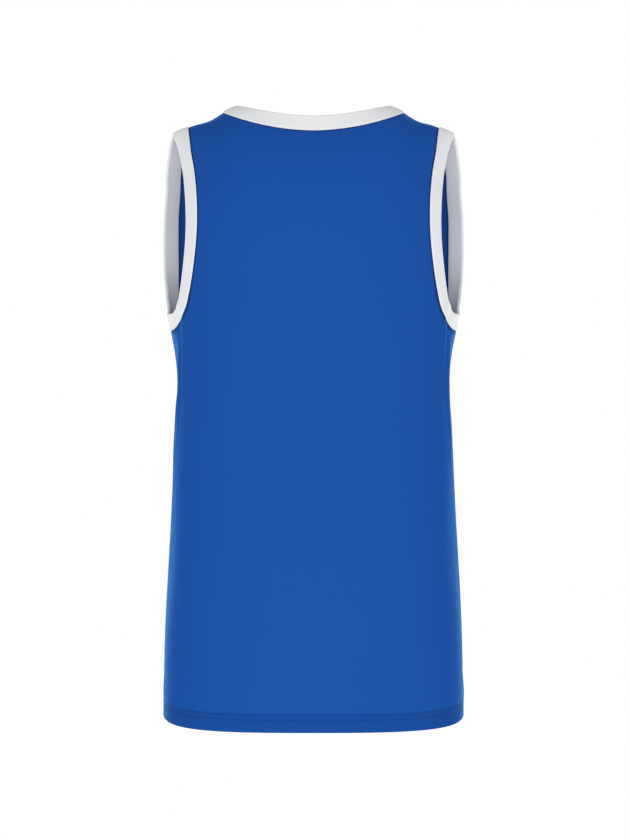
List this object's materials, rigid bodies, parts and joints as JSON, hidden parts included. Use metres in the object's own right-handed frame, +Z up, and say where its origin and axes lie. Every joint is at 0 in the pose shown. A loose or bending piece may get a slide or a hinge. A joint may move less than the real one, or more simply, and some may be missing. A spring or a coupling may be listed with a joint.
{
  "type": "basketball jersey",
  "caption": "Sleeveless basketball jersey, filled out with no wearer, royal blue knit with white ribbed bands at neck and armholes and a stitched hem",
  "frame": {"origin": "Midway between the two shoulder straps, level with their inner faces, where the wearer's shoulders carry the garment.", "axes": "+Z up, the front faces -Y, +X towards the wearer's left."},
  "size_m": [0.391, 0.2501, 0.7701],
  "materials": {
    "jersey_knit": "royal blue polyester knit, fine and smooth, soft sheen",
    "rib_knit": "white folded rib knit, matte"
  },
  "bodies": {
    "root": {"back_panel": "jersey_knit", "front_panel": "jersey_knit", "neck_band": "rib_knit", "armhole_band_left": "rib_knit", "armhole_band_right": "rib_knit"}
  },
  "joints": []
}
